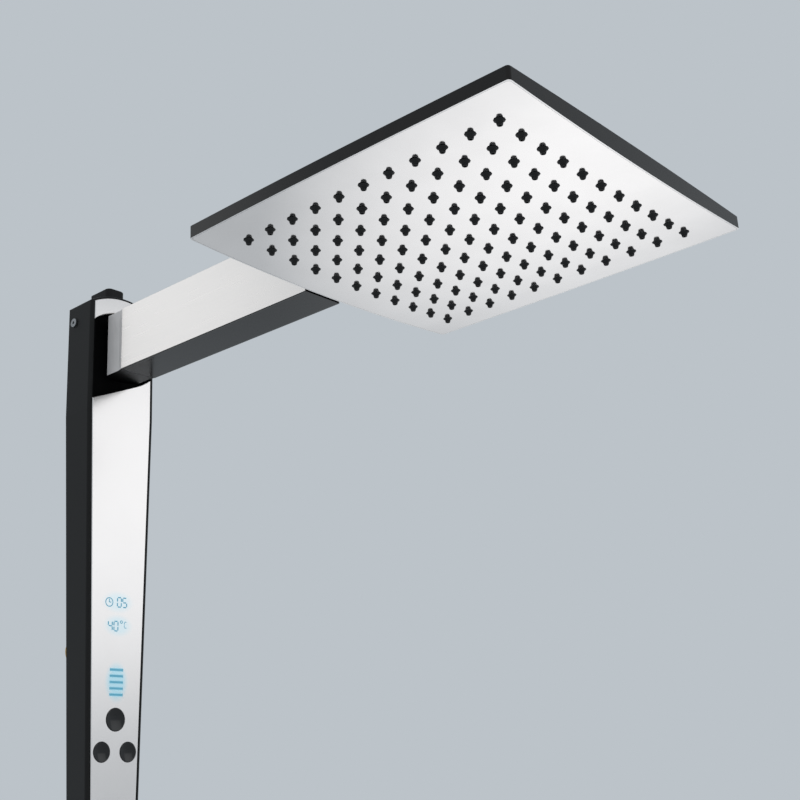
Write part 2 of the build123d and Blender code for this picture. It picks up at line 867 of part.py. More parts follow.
def make_arm_beam():
    beam = side_profile(beam_profile(knuckle_front, 0, cover_bottom), beam_half)
    beam -= side_profile(beam_profile(knuckle_front + 1, beam_wall, arm_top), channel_half)
    beam -= hub_boss(slide_gap, tongue_bottom - 1)
    tongue_top = tongue_bottom + beam_wall
    for place in hub_screw_places():
        beam -= rod("z", hub_screw[2] + seat_gap, place, tongue_bottom - 1, tongue_top + 1)
    place = (knuckle_screw_y(), knuckle_screw_level())
    for side in (-1, 1):
        beam -= screw_hole(knuckle_screw, "x", place, side * knuckle_seat(), -side, beam_wall)
    return beam


def make_top_cover():
    cover = block((-beam_half, beam_half), (tongue_end, knuckle_front), (cover_bottom, arm_top))
    return cover - rod("z", swivel_cap_radius + seat_gap, (0, pivot_y), cover_bottom - 1, arm_top + 1)


def make_side_plate(side):
    plate = side_profile(beam_profile(knuckle_front, 0, arm_top), side_plate / 2)
    return bevelled(Pos(side * (arm_half - side_plate / 2), 0, 0) * plate, Axis.X, side)


def make_end_cap():
    cap = block((-arm_half, arm_half), (tongue_end - end_cap_depth, tongue_end), (tongue_bottom, arm_top))
    return fillet(cap.edges().group_by(Axis.Y)[0], end_cap_depth / 2)


def tube_end():
    return head_centre_y + hub_boss_half - hub_socket


def make_arm_tube():
    tube = rod("y", tube_radius, (0, water_level), tube_end() + seat_gap, tube_start() - seat_gap)
    return tube - rod("y", tube_bore, (0, water_level), tube_end() - 1, tube_start() + 1)


def hub_screw_places():
    return [(0, head_centre_y + side * hub_screw_y) for side in (-1, 1)]


def across_tilt(half):
    """Limits along Y that lie evenly about the tilt axis."""
    return (head_centre_y - half, head_centre_y + half)


def hub_boss(gap, low):
    """Upright boss of the hub that takes the arm tube, or its window when a gap is added."""
    half = hub_boss_half + gap
    return block((-half, half), across_tilt(half), (low, water_level + tube_radius + hub_boss_wall))


def make_tilt_hub():
    """Block under the arm's end, in whose bore the tilt barrel turns."""
    flange_bottom = tongue_bottom - hub_flange_height
    hub = block((-beam_half, beam_half), across_tilt(hub_flange_half), (flange_bottom, tongue_bottom))
    hub += block((-hub_half, hub_half), across_tilt(hub_radius), (tilt_level, tongue_bottom))
    hub += rod("x", hub_radius, tilt_centre, -hub_half, hub_half)
    hub -= rod("x", tilt_barrel_radius + running_gap, tilt_centre, -arm_half, arm_half)
    hub += hub_boss(0, flange_bottom)
    boss_rear = head_centre_y + hub_flange_half
    hub -= rod("y", tube_radius + running_gap, (0, water_level), tube_end(), boss_rear)
    hub -= rod("y", tube_bore, (0, water_level), head_centre_y, tube_end() + 1)
    hub -= rod("z", tube_bore, (0, head_centre_y), tilt_level, water_level)
    for place in hub_screw_places():
        hub -= rod("z", hub_screw[2] + seat_gap, place, flange_bottom - 1, tongue_bottom + 1)
    return hub


def make_hub_screws():
    seat = tongue_bottom - hub_flange_height
    return [screw(hub_screw, "z", place, seat, 1) for place in hub_screw_places()]


def soft_square(half):
    """A square whose sides swell outwards a little, with small round corners."""
    middle = half + head_bulge
    sides = [
        ThreePointArc((-half, -half), (0, -middle), (half, -half)),
        ThreePointArc((half, -half), (middle, 0), (half, half)),
        ThreePointArc((half, half), (0, middle), (-half, half)),
        ThreePointArc((-half, half), (-middle, 0), (-half, -half)),
    ]
    outline = make_face(sides)
    return fillet(outline.vertices(), head_corner)


def head_prism(half, low, high):
    return head_place * extrude(Plane.XY.offset(low) * soft_square(half), high - low)


def above_bow(offset):
    """All that lies above the bowed spray face, moved up by offset."""
    reach = 2 * head_half
    centre = (0, face_crown_level + bow_radius)
    return head_place * rod("y", bow_radius - offset, centre, -reach, reach)


def bow_level(x, offset):
    return face_crown_level + offset + x**2 / (2 * bow_radius)


def nozzle_lines():
    middle = (nozzle_rows - 1) / 2
    return [(i - middle) * nozzle_pitch for i in range(nozzle_rows)]


def nozzle_dot(radius):
    return RegularPolygon(radius, nozzle_sides, rotation=180 / nozzle_sides)


def pillar_places():
    offsets = (-pillar_offset, pillar_offset)
    return [(x, head_centre_y + y) for x in offsets for y in offsets]


def make_head_shell():
    """Thin square lid of the head, with a low crown and a rebate for the face plate."""
    below = face_crown_level - head_corner
    shell = bevelled(head_prism(head_half, below, head_top_level), Axis.Z, 1) & above_bow(0)
    base = Plane.XY.offset(head_top_level) * Rectangle(2 * crown_half, 2 * crown_half)
    shell += head_place * extrude(base, crown_rise, taper=crown_taper)
    shell -= head_prism(head_half - rim_wall, below, head_ceiling)
    above_plate = above_bow(plate_thickness + running_gap)
    shell -= head_prism(head_half - plate_lip, below, head_ceiling) - above_plate
    for side in (-1, 1):
        place = (side * fork_middle(), head_centre_y)
        shell -= rod("z", fork_water_bore, place, head_ceiling - 1, head_plateau + 1)
    for place in pillar_places():
        shell -= screw_hole(head_screw, "z", place, head_top_level - head_screw[1], -1, ceiling_wall)
    for place in fork_screw_places():
        shell -= rod("z", fork_screw[2] + seat_gap, place, head_ceiling - 1, head_plateau + 1)
    return shell


def make_face_plate():
    """Bowed bright plate with a square grid of nozzle holes and four screw pillars."""
    below = face_crown_level - head_corner
    plate = head_prism(head_half - plate_lip - seat_gap, below, head_ceiling) & above_bow(0)
    plate -= above_bow(plate_thickness)
    grid = GridLocations(nozzle_pitch, nozzle_pitch, nozzle_rows, nozzle_rows)
    holes = Sketch() + grid * nozzle_dot(nozzle_hole_radius)
    plate -= head_place * extrude(Plane.XY.offset(below) * holes, head_top_level - below)
    tip = head_top_level - head_screw[1] - head_screw[3]
    for place in pillar_places():
        root = bow_level(pillar_offset, plate_thickness / 2)
        plate += rod("z", pillar_radius, place, root, head_ceiling - running_gap)
        plate -= rod("z", head_screw[2] + seat_gap, place, tip - seat_gap, head_top_level)
    return plate


def make_nozzle_mat():
    """Silicone sheet with one tapering nozzle for each hole in the plate."""
    below = face_crown_level - head_corner
    under = plate_thickness + running_gap
    sheet = head_prism(mat_half, below, head_ceiling) & above_bow(under)
    sheet -= above_bow(under + mat_thickness)
    nozzles = []
    for x in nozzle_lines():
        root = bow_level(x, under + mat_thickness / 2)
        tip = bow_level(x, -nozzle_length)
        taper = math.degrees(math.atan((nozzle_root_radius - nozzle_tip_radius) / (root - tip)))
        dot = Plane.XY.offset(root) * nozzle_dot(nozzle_root_radius)
        nozzle = extrude(dot, amount=root - tip, dir=(0, 0, -1), taper=taper)
        nozzles += [head_place * Pos(x, y, 0) * nozzle for y in nozzle_lines()]
    return sheet.fuse(*nozzles)


def make_head_gasket():
    ring = head_prism(mat_half, face_crown_level, head_ceiling - running_gap)
    ring -= head_prism(mat_half - gasket_width, face_crown_level - 1, head_ceiling)
    return ring & above_bow(plate_thickness + mat_thickness + 2 * running_gap)


def make_head_screws():
    seat = head_top_level - head_screw[1]
    return [screw(head_screw, "z", place, seat, -1) for place in pillar_places()]


def fork_middle():
    """Distance from the middle to the centre of each cheek of the fork."""
    return (hub_half + fork_gap + beam_half) / 2


def fork_screw_places():
    reach = fork_base_half - fork_screw[0] - 1
    return [(0, head_centre_y - reach), (0, head_centre_y + reach)]


def make_tilt_fork():
    """Fork on the head's back, whose cheeks hold the ends of the tilt barrel."""
    base_top = head_plateau + fork_base_height
    inner = hub_half + fork_gap
    fork = block((-beam_half, beam_half), across_tilt(fork_base_half), (head_plateau, base_top))
    fork -= rod("x", hub_radius + fork_relief, tilt_centre, -inner, inner)
    for side in (-1, 1):
        cheek = rod("x", fork_radius, tilt_centre, side * inner, side * beam_half)
        height = (head_plateau, tilt_level)
        cheek += block((side * inner, side * beam_half), across_tilt(fork_radius), height)
        height = (tilt_level - 2 * fork_radius, head_plateau)
        cheek -= block((-arm_half, arm_half), across_tilt(fork_radius), height)
        fork += cheek
        place = (side * fork_middle(), head_centre_y)
        fork -= rod("z", fork_water_bore, place, head_plateau - 1, tilt_level)
    fork -= rod("x", tilt_barrel_radius + running_gap / 2, tilt_centre, -arm_half, arm_half)
    for place in fork_screw_places():
        fork -= rod("z", fork_screw[2] + seat_gap, place, head_plateau - 1, base_top + 1)
    return fork


def make_fork_screws():
    seat = head_plateau + fork_base_height
    return [screw(fork_screw, "z", place, seat, -1) for place in fork_screw_places()]


def tilt_seal(x, outer):
    ring = rod("x", outer, tilt_centre, x - seal_width / 2, x + seal_width / 2)
    return ring - rod("x", tilt_barrel_radius - seal_depth, tilt_centre, x - seal_width, x + seal_width)


def tilt_seal_places():
    return [side * (hub_half / 2 + seal_width) for side in (-1, 1)]


def make_tilt_barrel():
    """Hollow pin that carries the head and leads the water out to both cheeks."""
    half = beam_half - seat_gap
    hollow = half - tilt_barrel_end
    barrel = rod("x", tilt_barrel_radius, tilt_centre, -half, half)
    barrel -= rod("x", tilt_barrel_bore, tilt_centre, -hollow, hollow)
    barrel -= rod("z", fork_water_bore, (0, head_centre_y), tilt_level, tilt_level + 2 * tilt_barrel_radius)
    for side in (-1, 1):
        place = (side * fork_middle(), head_centre_y)
        barrel -= rod("z", fork_water_bore, place, tilt_level - 2 * tilt_barrel_radius, tilt_level)
    for x in tilt_seal_places():
        barrel -= tilt_seal(x, tilt_barrel_radius + 1)
    return barrel


def make_tilt_seals():
    return [tilt_seal(x, tilt_barrel_radius) for x in tilt_seal_places()]


def make_button(x, z, radius):
    """Round dished key with a hidden flange and a stem."""
    front = -column_depth - fascia_proud - button_proud
    flange_front = fascia_back + seat_gap
    flange_back = flange_front + button_flange_height
    key = bevelled(rod("y", radius, (x, z), front, flange_front), Axis.Y, -1)
    key += rod("y", radius + button_flange, (x, z), flange_front, flange_back)
    key += rod("y", button_stem_radius, (x, z), flange_back, stem_end())
    dish_radius = ((radius - edge_bevel)**2 + button_dish**2) / (2 * button_dish)
    return key - Pos(x, front + button_dish - dish_radius, z) * Sphere(dish_radius)


def stem_end():
    return board_front - switch_height - button_travel - seat_gap


def make_display_board():
    board = block((-board_half, board_half), (board_front, board_back), (board_bottom, board_top))
    for x, z in board_posts():
        board -= rod("y", board_screw[2] + seat_gap, (x, z), board_front - 1, board_back + 1)
    return board


def make_board_screws():
    return [screw(board_screw, "y", place, board_back, -1) for place in board_posts()]


def make_board_switches():
    """Key switches under the buttons and the flow switch behind the board."""
    centres = [(x, z) for x, z, _ in button_places().values()]
    switches = [board_switch(centre, board_front - switch_height) for centre in centres]
    return switches + [board_switch((0, 0), board_back)]


def board_switch(centre, front):
    half = switch_half
    x, z = centre
    return block((x - half, x + half), (front, front + switch_height), (z - half, z + half))


def make_display_module():
    depth = (fascia_back + seat_gap, board_front)
    return block((-module_half, module_half), depth, (module_bottom, module_top))


def make_level_lights():
    return [level_bar(level, 0, -column_depth - fascia_proud) for level in bar_levels()]


def make_power_board():
    front = fascia_back + ledge_depth
    back = front + board_thickness
    half = side_half(back, power_board_bottom) - side_wall - clear_gap
    return block((-half, half), (front, back), (power_board_bottom, power_board_top))


def make_power_triac():
    front = fascia_back + ledge_depth + board_thickness
    height = (triac_bottom, triac_bottom + triac_height)
    return block((-triac_half, triac_half), (front, chamber_front), height)


def make_terminal_block():
    """Three-way block for the supply wires, on the back wall beside the riser."""
    front = pocket_back + clear_gap
    right = terminal_left + terminal_width
    terminals = block((terminal_left, right), (front, -back_wall), (terminal_bottom, terminal_top))
    pitch = (terminal_top - terminal_bottom) / terminal_count
    for i in range(terminal_count):
        place = ((front - back_wall) / 2, terminal_bottom + i * pitch + pitch / 2)
        terminals -= rod("x", terminal_hole_radius, place, terminal_left - 1, right + 1)
    return terminals


def make_parts():
    buttons = {f"button_{name}": make_button(*place) for name, place in button_places().items()}
    return {
        "casing_rear": make_casing(),
        "bottom_cap": make_bottom_cap(),
        "cap_screws": make_cap_screws(),
        "fascia_lower": make_lower_fascia(),
        "fascia_upper": make_upper_fascia(),
        "arm_pocket": make_pocket(),
        "wire_hood": make_wire_hood(),
        "wall_bracket": make_wall_bracket(),
        "bracket_screws": make_bracket_screws(),
        "side_screws": make_side_screws(),
        "inlet_nipple": make_inlet_nipple(),
        "inlet_filter": make_inlet_filter(),
        "valve_body": make_valve_body(),
        "valve_diaphragm": make_diaphragm(),
        "valve_cover": make_valve_cover(),
        "valve_screws": make_valve_screws(),
        "flow_plunger": make_flow_plunger(),
        "feed_tube": make_feed_tube(),
        "heating_chamber": make_heating_chamber(),
        "chamber_gasket": make_chamber_gasket(),
        "chamber_lid": make_chamber_lid(),
        "lid_screws": make_lid_screws(),
        "heating_element": make_heating_element(),
        "riser_tube": make_riser_tube(),
        "outlet_elbow": make_outlet_elbow(),
        "neck_tube": make_neck_tube(),
        "swivel_barrel": make_swivel_barrel(),
        "swivel_seals": make_swivel_seals(),
        "power_board": make_power_board(),
        "power_triac": make_power_triac(),
        "terminal_block": make_terminal_block(),
        "display_board": make_display_board(),
        "board_screws": make_board_screws(),
        "board_switches": make_board_switches(),
        "display_module": make_display_module(),
        "level_lights": make_level_lights(),
        **buttons,
        "arm_knuckle": make_arm_knuckle(),
        "knuckle_screws": make_knuckle_screws(),
        "swivel_cap": make_swivel_cap(),
        "arm_beam": make_arm_beam(),
        "arm_top_cover": make_top_cover(),
        "arm_plate_left": make_side_plate(-1),
        "arm_plate_right": make_side_plate(1),
        "arm_end_cap": make_end_cap(),
        "arm_tube": make_arm_tube(),
        "tilt_hub": make_tilt_hub(),
        "hub_screws": make_hub_screws(),
        "head_shell": make_head_shell(),
        "face_plate": make_face_plate(),
        "nozzle_mat": make_nozzle_mat(),
        "head_gasket": make_head_gasket(),
        "head_screws": make_head_screws(),
        "tilt_fork": make_tilt_fork(),
        "fork_screws": make_fork_screws(),
        "tilt_barrel": make_tilt_barrel(),
        "tilt_seals": make_tilt_seals(),
    }


def main():
    os.makedirs("parts", exist_ok=True)
    for name, shape in make_parts().items():
        pieces = shape if isinstance(shape, list) else shape.solids()
        solids = [solid for piece in pieces for solid in piece.solids()]
        whole = solids[0] if len(solids) == 1 else Compound(children=solids)
        export_step(whole, f"parts/{name}.step")


main()
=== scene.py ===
import bmesh
import bpy
import json
import math
from mathutils import Matrix, Vector


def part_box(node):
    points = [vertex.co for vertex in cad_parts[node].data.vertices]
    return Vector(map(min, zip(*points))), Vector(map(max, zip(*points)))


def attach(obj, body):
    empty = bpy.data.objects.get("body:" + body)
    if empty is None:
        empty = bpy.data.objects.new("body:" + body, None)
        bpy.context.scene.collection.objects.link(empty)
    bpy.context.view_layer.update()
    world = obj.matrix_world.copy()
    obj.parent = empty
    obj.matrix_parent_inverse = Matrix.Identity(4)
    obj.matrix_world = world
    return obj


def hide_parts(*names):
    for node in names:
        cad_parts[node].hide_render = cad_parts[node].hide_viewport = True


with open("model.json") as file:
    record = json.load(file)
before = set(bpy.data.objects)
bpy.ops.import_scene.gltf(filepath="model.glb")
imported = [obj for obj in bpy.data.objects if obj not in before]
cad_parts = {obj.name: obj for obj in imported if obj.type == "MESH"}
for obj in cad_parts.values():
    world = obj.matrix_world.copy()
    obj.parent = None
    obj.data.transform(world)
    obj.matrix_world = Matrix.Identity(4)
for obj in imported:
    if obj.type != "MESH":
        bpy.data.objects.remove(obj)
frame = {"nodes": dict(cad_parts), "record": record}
bpy.ops.object.select_all(action="DESELECT")
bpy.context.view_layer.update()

# Sizes and places on the shower are in millimetres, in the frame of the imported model
MM = 0.001

# The front plate's face, and how far the display's signs stand on it
FASCIA_FRONT = -30.3
GLYPH_THICK = 0.06

# Width and length of a digit's segment, and the distance between two parallel ones
SEGMENT_WIDE = 0.8
SEGMENT_LONG = 3.1
SEGMENT_STEP = 3.2

# Signs as (sign, x, z, size): the minutes, the temperature and its unit
SIGN_PLACES = (
    ("0", 1.2, 28.4, 1.0), ("5", 5.6, 28.4, 1.0),
    ("4", -5.8, 12.2, 1.0), ("0", -1.2, 12.2, 1.0), ("C", 6.6, 13.4, 0.62),
)

# Clock before the minutes, with its hands as (length, turn)
CLOCK_PLACE = (-7.0, 28.0)
CLOCK_RADIUS = 3.2
CLOCK_STROKE = 0.6
CLOCK_SIDES = 32
CLOCK_HANDS = ((2.2, math.pi / 2), (1.6, 0))

# Degree ring before the unit
DEGREE_PLACE = (3.2, 15.2)
DEGREE_RADIUS = 1.1
DEGREE_STROKE = 0.5
DEGREE_SIDES = 20

# Level bars: middle of the top one, step to the next, half height, the share of that half that
# is plain, and how strong the light edge beyond it is
BAR_TOP = -16.7
BAR_STEP = 4.06
BAR_HALF = 1.0
BAR_PLAIN = 0.55
BAR_EDGE_LIGHT = 0.75

# Light that spills from the display onto the front plate, as (x, z, half width, half height,
# strength). It falls off between two multiples of these half sizes.
GLOWS = ((0, 28.4, 12, 7, 0.35), (0.5, 12.6, 11, 7, 0.4), (0, -24.8, 8.5, 12.5, 0.85))
GLOW_INNER = 0.5
GLOW_OUTER = 1.2

# The spray face is part of a cylinder; the silicone sheet lies behind it
BOW_RADIUS = 1728.0
SHEET_HALF = 95.0
SHEET_BACK = 1.35
SHEET_THICK = 1.7
SHEET_STRIPS = 12

NOZZLE_ROWS = 11
NOZZLE_PITCH = 17.37
NOZZLE_SIDES = 10
NOZZLE_SMOOTH = math.radians(50)

# Half section of a nozzle as (radius, depth below the plate's face), from behind the plate
# round to its bore
NOZZLE_SECTION = (
    (2.6, -1.6), (2.6, 0.04), (3.05, 0.1), (1.95, 0.9), (1.45, 2.8), (0.8, 3.0), (0.65, 2.3),
)

# Camera at the photograph's viewing angle, with place, lens and sensor as Blender has them
CAMERA_PLACE = (-0.5092, -0.7259, -0.1135)
CAMERA_AZIMUTH = math.radians(49.50)
CAMERA_PITCH = math.radians(18.18)
CAMERA_ROLL = math.radians(-3.007)
CAMERA_LENS = 55.82
CAMERA_SENSOR = 36

# Floor and lamps are in metres. The shower hangs on a wall, so the floor is well below it.
FLOOR_SIZE = 30
FLOOR_LEVEL = -1.2

# Lamps as (name, place, point it faces, width and height, watts)
SOFT_BOXES = (
    ("Front box", (1.176, -1.648, 0.58), (0, -0.03, 0.58), (1.2, 0.87), 1.98),
    ("Rear box", (-1.03, 1.16, 0.89), (0, -0.15, 0.21), (0.56, 0.6), 0.75),
    ("Low box", (0.929, 0.203, -0.54), (-0.032, -0.286, 0.187), (1.05, 1.05), 1.9),
    ("Top box", (-0.3, -0.6, 1.6), (0, -0.2, 0.1), (1.2, 1.2), 4),
)

# Brightest point of a lamp that fades, and the share of its light left at FADE_REACH from there
FADES = {
    "Front box": ((1.176, -1.648, 0.76), 0.78),
    "Low box": ((0.981, 0.151, -0.507), 0.25),
}
FADE_REACH = 0.5

BACKDROP = "#BCC3C9"
FILL = "#FFFFFF"
FILL_STRENGTH = 0.9

# Light of the display's diodes, and the paler light where it gathers or spills
LIT_BLUE = ("#4A8FA9", "#5AA0B8")
LIT_STRENGTH = 0.35
LIT_CLOUD = 3
PALE_BLUE = "#BDEBF8"
LIT_SOCKETS = ("Base Color", "Emission Color")

# Detail of every grain, the part of the noise that its colours span, and its relief's strength
GRAIN_DETAIL = 4.0
GRAIN_SPAN = (0.3, 0.7)
GRAIN_RELIEF = 0.5

# A face looks down where its normal's z is under this
DOWNWARD = -0.7


def srgb(code):
    """Linear colour of an sRGB hex code."""
    levels = [int(code[i:i + 2], 16) / 255 for i in (1, 3, 5)]
    linear = [c / 12.92 if c <= 0.04045 else ((c + 0.055) / 1.055) ** 2.4 for c in levels]
    return (*linear, 1.0)


def add_node(tree, kind, settings=None, links=None):
    """Adds a node, sets its properties or sockets, and feeds its sockets from others' outputs."""
    node = tree.nodes.new(kind)
    for key, value in (settings or {}).items():
        if isinstance(key, str) and hasattr(node, key):
            setattr(node, key, value)
        else:
            node.inputs[key].default_value = value
    for key, source in (links or {}).items():
        tree.links.new(source, node.inputs[key])
    return node


def shader_of(material):
    """The shader of a material."""
    return material.node_tree.nodes["Principled BSDF"]


def new_material(name, **sockets):
    """A material with its shader's constant sockets set."""
    material = bpy.data.materials.new(name)
    material.use_nodes = True
    for key, value in sockets.items():
        shader_of(material).inputs[key.replace("_", " ")].default_value = value
    return material


def grained(name, dark, light, grain, relief, rough, stretch=(1, 1, 1), **sockets):
    """Surface whose colour, gloss and relief vary with a grain, given in millimetres."""
    material = new_material(name, **sockets)
    tree, shader = material.node_tree, shader_of(material)
    place = add_node(tree, "ShaderNodeTexCoord")
    mapping = add_node(tree, "ShaderNodeMapping", {"Scale": stretch},
                       {"Vector": place.outputs["Object"]})
    noise = add_node(tree, "ShaderNodeTexNoise",
                     {"Scale": 1 / (grain * MM), "Detail": GRAIN_DETAIL},
                     {"Vector": mapping.outputs["Vector"]})
    ramp = add_node(tree, "ShaderNodeValToRGB", {}, {"Fac": noise.outputs["Fac"]})
    for element, position, colour in zip(ramp.color_ramp.elements, GRAIN_SPAN, (dark, light)):
        element.position = position
        element.color = srgb(colour)
    gloss = add_node(tree, "ShaderNodeMapRange", {"To Min": rough[0], "To Max": rough[1]},
                     {"Value": noise.outputs["Fac"]})
    bump = add_node(tree, "ShaderNodeBump", {"Strength": GRAIN_RELIEF, "Distance": relief * MM},
                    {"Height": noise.outputs["Fac"]})
    tree.links.new(ramp.outputs["Color"], shader.inputs["Base Color"])
    tree.links.new(gloss.outputs["Result"], shader.inputs["Roughness"])
    tree.links.new(bump.outputs["Normal"], shader.inputs["Normal"])
    return material


def lit_acrylic(name):
    """Clear light pipe over a blue diode, a little cloudy."""
    material = new_material(name, Roughness=0.3, IOR=1.49, Emission_Strength=LIT_STRENGTH)
    tree = material.node_tree
    place = add_node(tree, "ShaderNodeTexCoord")
    noise = add_node(tree, "ShaderNodeTexNoise", {"Scale": 1 / (LIT_CLOUD * MM)},
                     {"Vector": place.outputs["Object"]})
    ramp = add_node(tree, "ShaderNodeValToRGB", {}, {"Fac": noise.outputs["Fac"]})
    for element, colour in zip(ramp.color_ramp.elements, LIT_BLUE):
        element.color = srgb(colour)
    for socket in LIT_SOCKETS:
        tree.links.new(ramp.outputs["Color"], shader_of(material).inputs[socket])
    return material


def tint(material, socket, colour, share):
    """Mixes a colour over what feeds a socket of the shader, by the share that an output gives."""
    target = shader_of(material).inputs[socket]
    mixed = add_node(material.node_tree, "ShaderNodeMixRGB", {"Color2": srgb(colour)},
                     {"Fac": share, "Color1": target.links[0].from_socket})
    material.node_tree.links.new(mixed.outputs["Color"], target)


def below(material, colour, level, metallic):
    """Gives the faces that look down a second colour and metallic level: a second finish on the
    head's rim, painted shade on the arm's side plates, a black underside on the arm's root.
    """
    tree = material.node_tree
    place = add_node(tree, "ShaderNodeTexCoord")
    split = add_node(tree, "ShaderNodeSeparateXYZ", {}, {"Vector": place.outputs["Normal"]})
    down = add_node(tree, "ShaderNodeMath", {"operation": "LESS_THAN", 1: DOWNWARD},
                    {0: split.outputs["Z"]})
    metal = add_node(tree, "ShaderNodeMath",
                     {"operation": "MULTIPLY_ADD", 1: metallic - level, 2: level},
                     {0: down.outputs[0]})
    tint(material, "Base Color", colour, down.outputs[0])
    tree.links.new(metal.outputs[0], shader_of(material).inputs["Metallic"])


def light_edges(material, colour):
    """Gathers light along the long edges of each level bar."""
    tree = material.node_tree
    place = add_node(tree, "ShaderNodeTexCoord")
    split = add_node(tree, "ShaderNodeSeparateXYZ", {}, {"Vector": place.outputs["Object"]})
    height = add_node(tree, "ShaderNodeMath", {"operation": "SUBTRACT", 1: BAR_TOP * MM},
                      {0: split.outputs["Z"]})
    off_middle = add_node(tree, "ShaderNodeMath",
                          {"operation": "PINGPONG", 1: BAR_STEP / 2 * MM},
                          {0: height.outputs[0]})
    edge = add_node(tree, "ShaderNodeMapRange",
                    {"From Min": BAR_HALF * BAR_PLAIN * MM, "From Max": BAR_HALF * MM,
                     "To Min": 0.0, "To Max": BAR_EDGE_LIGHT},
                    {"Value": off_middle.outputs[0]})
    for socket in LIT_SOCKETS:
        tint(material, socket, colour, edge.outputs["Result"])


def glow_around(material, places, colour):
    """Tints a surface softly around lit places."""
    tree = material.node_tree
    place = add_node(tree, "ShaderNodeTexCoord")
    for x, z, wide, high, strength in places:
        middle = (x * MM, FASCIA_FRONT * MM, z * MM)
        away = add_node(tree, "ShaderNodeVectorMath", {"operation": "SUBTRACT", 1: middle},
                        {0: place.outputs["Object"]})
        part = add_node(tree, "ShaderNodeVectorMath",
                        {"operation": "DIVIDE", 1: (wide * MM, 1, high * MM)},
                        {0: away.outputs["Vector"]})
        far = add_node(tree, "ShaderNodeVectorMath", {"operation": "LENGTH"},
                       {0: part.outputs["Vector"]})
        near = add_node(tree, "ShaderNodeMapRange",
                        {"interpolation_type": "SMOOTHSTEP", "From Min": GLOW_OUTER,
                         "From Max": GLOW_INNER, "To Min": 0.0, "To Max": strength},
                        {"Value": far.outputs["Value"]})
        tint(material, "Base Color", colour, near.outputs["Result"])


# Grains are real sizes, except where a comment says that a finer one is drawn coarser
materials = {}

# Dark ABS shell, injection moulded in a spark-eroded tool: nearly black, with an even fine satin
# grain. The real grain of 0.3 mm is drawn at 1 mm, so that it shows.
materials["grey_shell"] = grained(
    "Moulded dark ABS", "#0B0B0B", "#101010", 1.0, 0.005, (0.58, 0.66),
    IOR=1.36, Sheen_Weight=0.35, Sheen_Roughness=0.12)

# Black ABS of inner parts: plain, with the dull skin of a blasted tool.
materials["black_plastic"] = grained(
    "Matt black ABS", "#080808", "#0C0C0C", 1.5, 0.01, (0.5, 0.6), IOR=1.46)

# The recess behind the arm's root, in black ABS with painted shade: its colour and gloss are set
# darker than the plastic's own, so that the recess gives back almost no light.
materials["recess_black"] = grained(
    "Black ABS with painted shade", "#010101", "#030303", 1.5, 0.01, (0.7, 0.8), IOR=1.2)

# Keys in black ABS from a polished tool: a deep black that shows a soft highlight in its dish.
materials["key_black"] = grained(
    "Polished black key", "#060606", "#0A0A0A", 4.0, 0.003, (0.1, 0.14), IOR=1.5)

# Steel channel of the arm, powder painted: black with a soft gloss.
materials["channel_black"] = grained(
    "Powder-painted steel", "#080808", "#0D0D0D", 2.0, 0.01, (0.16, 0.22), IOR=1.38)

# Vacuum-metallised acrylic front: a bright silver mirror, softened by a satin lacquer and a
# little wavy from the moulding.
materials["silver_fascia"] = grained(
    "Metallised acrylic", "#F2EDEA", "#F7F2EF", 30.0, 0.004, (0.2, 0.26), Metallic=1.0)
glow_around(materials["silver_fascia"], GLOWS, PALE_BLUE)

# Anodised aluminium strip, brushed along the arm: bright, with faint lines. The real lines of
# 0.1 mm are drawn 2 mm wide, so that they show.
BRUSHED = {"dark": "#E3DEDA", "light": "#E9E4E0", "grain": 2.0, "relief": 0.004,
           "rough": (0.24, 0.34), "stretch": (1, 0.05, 1)}
materials["silver_plate"] = grained("Brushed anodised aluminium", Metallic=1.0, **BRUSHED)

# The same aluminium on the arm's sides, with painted shade: the faces that look down are darkened
# to black.
materials["side_plate"] = grained("Brushed side plate with painted shade", **BRUSHED)
below(materials["side_plate"], "#050505", 1.0, 0.0)

# Lacquered zinc casting of the head's hinge: mid grey, smooth, with a satin gloss.
materials["grey_knuckle"] = grained(
    "Lacquered zinc casting", "#B4B4B5", "#BBBBBC", 8.0, 0.01, (0.32, 0.4), IOR=1.5)

# Root of the arm: a paler lacquered zinc casting, black on the faces that look down.
materials["arm_root"] = grained(
    "Lacquered root casting", "#BEBEBF", "#C4C4C5", 8.0, 0.01, (0.32, 0.4), IOR=1.5)
below(materials["arm_root"], "#030303", 0.0, 0.0)

# Polished stainless sheet of the spray face: a soft mirror, faintly cloudy from the polishing
# wheel.
materials["bright_face"] = grained(
    "Polished stainless steel", "#F3EEEB", "#F8F3F0", 25.0, 0.004, (0.09, 0.12), Metallic=1.0)

# Rim of the head in black ABS from a polished tool: a soft gloss, and below it the bright folded
# edge of the face plate.
materials["head_rim"] = grained(
    "Polished black rim", "#0F0D0B", "#14110F", 6.0, 0.01, (0.2, 0.26), IOR=1.36)
below(materials["head_rim"], "#F0EDEB", 0.0, 1.0)

# Moulded silicone of nozzles, seals and gaskets: black, soft and slightly dusty.
materials["black_silicone"] = grained(
    "Black silicone rubber", "#050505", "#0A0A0A", 2.0, 0.01, (0.4, 0.5), IOR=1.41)

# Zinc-plated screw steel: bright grey, with turning marks. The real marks of 0.1 mm are drawn
# at 0.6 mm, so that they show.
materials["steel"] = grained(
    "Zinc-plated steel", "#B4B6B8", "#C6C8CA", 0.6, 0.01, (0.28, 0.4), Metallic=1.0)

# Passivated stainless screws: a duller grey than the zinc, with the same marks.
materials["dark_steel"] = grained(
    "Passivated stainless steel", "#7E8082", "#929496", 0.8, 0.01, (0.35, 0.45), Metallic=1.0)

# Machined brass of the inlet and tubes: warm yellow, with turning marks drawn at 1 mm.
materials["brass"] = grained(
    "Machined brass", "#B58F4A", "#CDA75F", 1.0, 0.01, (0.22, 0.34), Metallic=1.0)

# Moulded acetal of the valve and tubes: milky white and waxy.
materials["white_plastic"] = grained(
    "White acetal", "#DAD9D4", "#E6E5E0", 5.0, 0.01, (0.35, 0.45), IOR=1.48)

